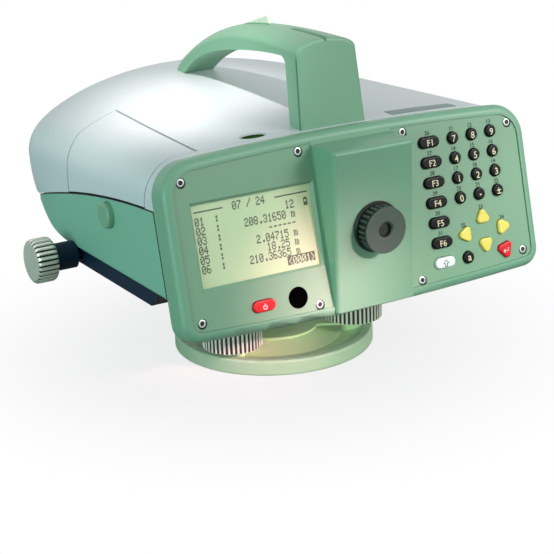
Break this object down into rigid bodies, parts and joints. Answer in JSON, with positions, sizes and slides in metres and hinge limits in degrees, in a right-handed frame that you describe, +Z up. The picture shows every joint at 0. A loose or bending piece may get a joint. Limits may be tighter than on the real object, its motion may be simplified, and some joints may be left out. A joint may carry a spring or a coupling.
{
  "type": "digital surveying level",
  "caption": "Electronic surveying level with sloping display and keypad panel, central eyepiece, carry handle, battery door, fine drive knobs and a three-screw levelling base.",
  "frame": {"origin": "mouth of the tripod thread, at the middle of the base plate's underside", "axes": "+Z up along the vertical axis, -Y towards the operator's panel, +Y along the line of sight, +X to the operator's right"},
  "size_m": [0.2404, 0.2195, 0.1689],
  "materials": {
    "frame_green": "satin paint on a casting",
    "panel_green": "satin",
    "cover_white": "fine matt",
    "handle_green": "fine matt",
    "base_green": "satin paint on a casting",
    "spring_steel": "bare",
    "wheel_metal": "turned and ribbed",
    "circle_metal": "satin, graduated",
    "tray_black": "satin paint",
    "knob_silver": "fluted, satin",
    "knob_black": "ribbed",
    "window_glass": "clear",
    "inner_black": "black anodised",
    "module_black": "plain",
    "display_cream": "lit screen",
    "mat_rubber": "plain",
    "board_green": "coated board",
    "vial_brass": "turned",
    "key_black": "soft touch",
    "key_red": "soft touch",
    "key_yellow": "soft touch",
    "key_white": "soft touch"
  },
  "bodies": {
    "base": {"base_plate": "base_green", "spring_plate": "base_green"},
    "levelling_head": {"levelling_head": "base_green"},
    "footscrew_front_left": {"footscrew_front_left": "wheel_metal"},
    "footscrew_front_right": {"footscrew_front_right": "wheel_metal"},
    "footscrew_rear": {"footscrew_rear": "wheel_metal"},
    "horizontal_circle": {"horizontal_circle": "circle_metal"},
    "upper": {"vertical_spindle": "spring_steel", "drive_housing": "tray_black", "lower_housing": "frame_green", "top_cover": "cover_white", "front_frame": "frame_green", "display_bezel": "panel_green", "keypad_panel": "panel_green", "panel_screws": "spring_steel", "windows": "window_glass", "display_module": "display_cream", "keypad_mat": "mat_rubber", "main_board": "board_green", "telescope_tube": "inner_black", "lenses": "window_glass", "eyepiece_barrel": "inner_black", "sensor_module": "module_black", "battery": "module_black", "circular_level": "vial_brass", "carry_handle": "handle_green"},
    "drive": {"drive_shaft": "spring_steel", "drive_knobs": "knob_silver"},
    "focus_knob": {"focus_knob": "knob_black"},
    "focus_carriage": {"focus_carriage": "inner_black"},
    "compensator_pendulum": {"compensator_pendulum": "inner_black"},
    "eyepiece_ring": {"eyepiece_ring": "knob_black"},
    "side_door": {"side_door": "cover_white"},
    "door_latch": {"door_latch": "frame_green"},
    "key_power": {"key_power": "key_red"},
    "key_measure": {"key_measure": "key_black"},
    "key_mode": {"key_mode": "key_black"},
    "key_user": {"key_user": "key_black"},
    "key_program": {"key_program": "key_black"},
    "key_data": {"key_data": "key_black"},
    "key_escape": {"key_escape": "key_black"},
    "key_shift": {"key_shift": "key_white"},
    "key_0": {"key_0": "key_black"},
    "key_1": {"key_1": "key_black"},
    "key_2": {"key_2": "key_black"},
    "key_3": {"key_3": "key_black"},
    "key_4": {"key_4": "key_black"},
    "key_5": {"key_5": "key_black"},
    "key_6": {"key_6": "key_black"},
    "key_7": {"key_7": "key_black"},
    "key_8": {"key_8": "key_black"},
    "key_9": {"key_9": "key_black"},
    "key_point": {"key_point": "key_black"},
    "key_sign": {"key_sign": "key_black"},
    "key_letters": {"key_letters": "key_black"},
    "key_up": {"key_up": "key_yellow"},
    "key_down": {"key_down": "key_yellow"},
    "key_left": {"key_left": "key_yellow"},
    "key_right": {"key_right": "key_yellow"},
    "key_enter": {"key_enter": "key_red"}
  },
  "joints": [
    {"name": "head_tilt", "type": "hinge", "parent": "base", "child": "levelling_head", "pos_m": [0, -0.0205, 0.008], "axis": [1, 0, 0], "range_deg": [-1, 1]},
    {"name": "footscrew_rear_turn", "type": "hinge", "parent": "base", "child": "footscrew_rear", "pos_m": [0, 0.041, 0.008], "axis": [0, 0, 1], "range_deg": [-485, 485]},
    {"name": "footscrew_front_left_turn", "type": "hinge", "parent": "levelling_head", "child": "footscrew_front_left", "pos_m": [-0.03551, -0.0205, 0.008], "axis": [0, 0, 1], "range_deg": [-450, 450]},
    {"name": "footscrew_front_right_turn", "type": "hinge", "parent": "levelling_head", "child": "footscrew_front_right", "pos_m": [0.03551, -0.0205, 0.008], "axis": [0, 0, 1], "range_deg": [-450, 450]},
    {"name": "azimuth", "type": "hinge", "parent": "levelling_head", "child": "upper", "pos_m": [0, 0, 0.05], "axis": [0, 0, 1], "continuous": true},
    {"name": "circle_turn", "type": "hinge", "parent": "levelling_head", "child": "horizontal_circle", "pos_m": [0, 0, 0.042], "axis": [0, 0, 1], "continuous": true},
    {"name": "fine_drive", "type": "hinge", "parent": "upper", "child": "drive", "pos_m": [0, 0.024, 0.05935], "axis": [1, 0, 0], "continuous": true},
    {"name": "focus_turn", "type": "hinge", "parent": "upper", "child": "focus_knob", "pos_m": [0.06, 0, 0.0788], "axis": [1, 0, 0], "range_deg": [-140, 140]},
    {"name": "focus_slide", "type": "slide", "parent": "upper", "child": "focus_carriage", "axis": [0, 1, 0], "range_m": [-0.01, 0.01]},
    {"name": "pendulum_swing", "type": "hinge", "parent": "upper", "child": "compensator_pendulum", "pos_m": [0, -0.028, 0.094], "axis": [1, 0, 0], "range_deg": [-0.25, 0.25]},
    {"name": "dioptre_turn", "type": "hinge", "parent": "upper", "child": "eyepiece_ring", "pos_m": [0, -0.1, 0.085], "axis": [0, 1, 0], "range_deg": [-150, 150]},
    {"name": "door_swing", "type": "hinge", "parent": "upper", "child": "side_door", "pos_m": [-0.0711, -0.0593, 0.12275], "axis": [0.0779, 0.9969, -0.0079], "range_deg": [0, 100]},
    {"name": "latch_press", "type": "slide", "parent": "upper", "child": "door_latch", "axis": [1, 0, 0], "range_m": [0, 0.002], "stiffness_N_per_m": 800},
    {"name": "key_power_press", "type": "slide", "parent": "upper", "child": "key_power", "axis": [0, 0.9751, -0.2215], "range_m": [0, 0.001], "stiffness_N_per_m": 1000},
    {"name": "key_measure_press", "type": "slide", "parent": "upper", "child": "key_measure", "axis": [0, 0.9751, -0.2215], "range_m": [0, 0.001], "stiffness_N_per_m": 1000},
    {"name": "key_mode_press", "type": "slide", "parent": "upper", "child": "key_mode", "axis": [0, 0.9751, -0.2215], "range_m": [0, 0.001], "stiffness_N_per_m": 1000},
    {"name": "key_user_press", "type": "slide", "parent": "upper", "child": "key_user", "axis": [0, 0.9751, -0.2215], "range_m": [0, 0.001], "stiffness_N_per_m": 1000},
    {"name": "key_program_press", "type": "slide", "parent": "upper", "child": "key_program", "axis": [0, 0.9751, -0.2215], "range_m": [0, 0.001], "stiffness_N_per_m": 1000},
    {"name": "key_data_press", "type": "slide", "parent": "upper", "child": "key_data", "axis": [0, 0.9751, -0.2215], "range_m": [0, 0.001], "stiffness_N_per_m": 1000},
    {"name": "key_escape_press", "type": "slide", "parent": "upper", "child": "key_escape", "axis": [0, 0.9751, -0.2215], "range_m": [0, 0.001], "stiffness_N_per_m": 1000},
    {"name": "key_shift_press", "type": "slide", "parent": "upper", "child": "key_shift", "axis": [0, 0.9751, -0.2215], "range_m": [0, 0.001], "stiffness_N_per_m": 1000},
    {"name": "key_0_press", "type": "slide", "parent": "upper", "child": "key_0", "axis": [0, 0.9751, -0.2215], "range_m": [0, 0.001], "stiffness_N_per_m": 1000},
    {"name": "key_1_press", "type": "slide", "parent": "upper", "child": "key_1", "axis": [0, 0.9751, -0.2215], "range_m": [0, 0.001], "stiffness_N_per_m": 1000},
    {"name": "key_2_press", "type": "slide", "parent": "upper", "child": "key_2", "axis": [0, 0.9751, -0.2215], "range_m": [0, 0.001], "stiffness_N_per_m": 1000},
    {"name": "key_3_press", "type": "slide", "parent": "upper", "child": "key_3", "axis": [0, 0.9751, -0.2215], "range_m": [0, 0.001], "stiffness_N_per_m": 1000},
    {"name": "key_4_press", "type": "slide", "parent": "upper", "child": "key_4", "axis": [0, 0.9751, -0.2215], "range_m": [0, 0.001], "stiffness_N_per_m": 1000},
    {"name": "key_5_press", "type": "slide", "parent": "upper", "child": "key_5", "axis": [0, 0.9751, -0.2215], "range_m": [0, 0.001], "stiffness_N_per_m": 1000},
    {"name": "key_6_press", "type": "slide", "parent": "upper", "child": "key_6", "axis": [0, 0.9751, -0.2215], "range_m": [0, 0.001], "stiffness_N_per_m": 1000},
    {"name": "key_7_press", "type": "slide", "parent": "upper", "child": "key_7", "axis": [0, 0.9751, -0.2215], "range_m": [0, 0.001], "stiffness_N_per_m": 1000},
    {"name": "key_8_press", "type": "slide", "parent": "upper", "child": "key_8", "axis": [0, 0.9751, -0.2215], "range_m": [0, 0.001], "stiffness_N_per_m": 1000},
    {"name": "key_9_press", "type": "slide", "parent": "upper", "child": "key_9", "axis": [0, 0.9751, -0.2215], "range_m": [0, 0.001], "stiffness_N_per_m": 1000},
    {"name": "key_point_press", "type": "slide", "parent": "upper", "child": "key_point", "axis": [0, 0.9751, -0.2215], "range_m": [0, 0.001], "stiffness_N_per_m": 1000},
    {"name": "key_sign_press", "type": "slide", "parent": "upper", "child": "key_sign", "axis": [0, 0.9751, -0.2215], "range_m": [0, 0.001], "stiffness_N_per_m": 1000},
    {"name": "key_letters_press", "type": "slide", "parent": "upper", "child": "key_letters", "axis": [0, 0.9751, -0.2215], "range_m": [0, 0.001], "stiffness_N_per_m": 1000},
    {"name": "key_up_press", "type": "slide", "parent": "upper", "child": "key_up", "axis": [0, 0.9751, -0.2215], "range_m": [0, 0.001], "stiffness_N_per_m": 1000},
    {"name": "key_down_press", "type": "slide", "parent": "upper", "child": "key_down", "axis": [0, 0.9751, -0.2215], "range_m": [0, 0.001], "stiffness_N_per_m": 1000},
    {"name": "key_left_press", "type": "slide", "parent": "upper", "child": "key_left", "axis": [0, 0.9751, -0.2215], "range_m": [0, 0.001], "stiffness_N_per_m": 1000},
    {"name": "key_right_press", "type": "slide", "parent": "upper", "child": "key_right", "axis": [0, 0.9751, -0.2215], "range_m": [0, 0.001], "stiffness_N_per_m": 1000},
    {"name": "key_enter_press", "type": "slide", "parent": "upper", "child": "key_enter", "axis": [0, 0.9751, -0.2215], "range_m": [0, 0.001], "stiffness_N_per_m": 1000}
  ],
  "couplings": [
    {"joint": "footscrew_rear_turn", "follows": "head_tilt", "ratio": -483.02},
    {"joint": "focus_slide", "follows": "focus_turn", "m_per_rad": -0.00405}
  ]
}
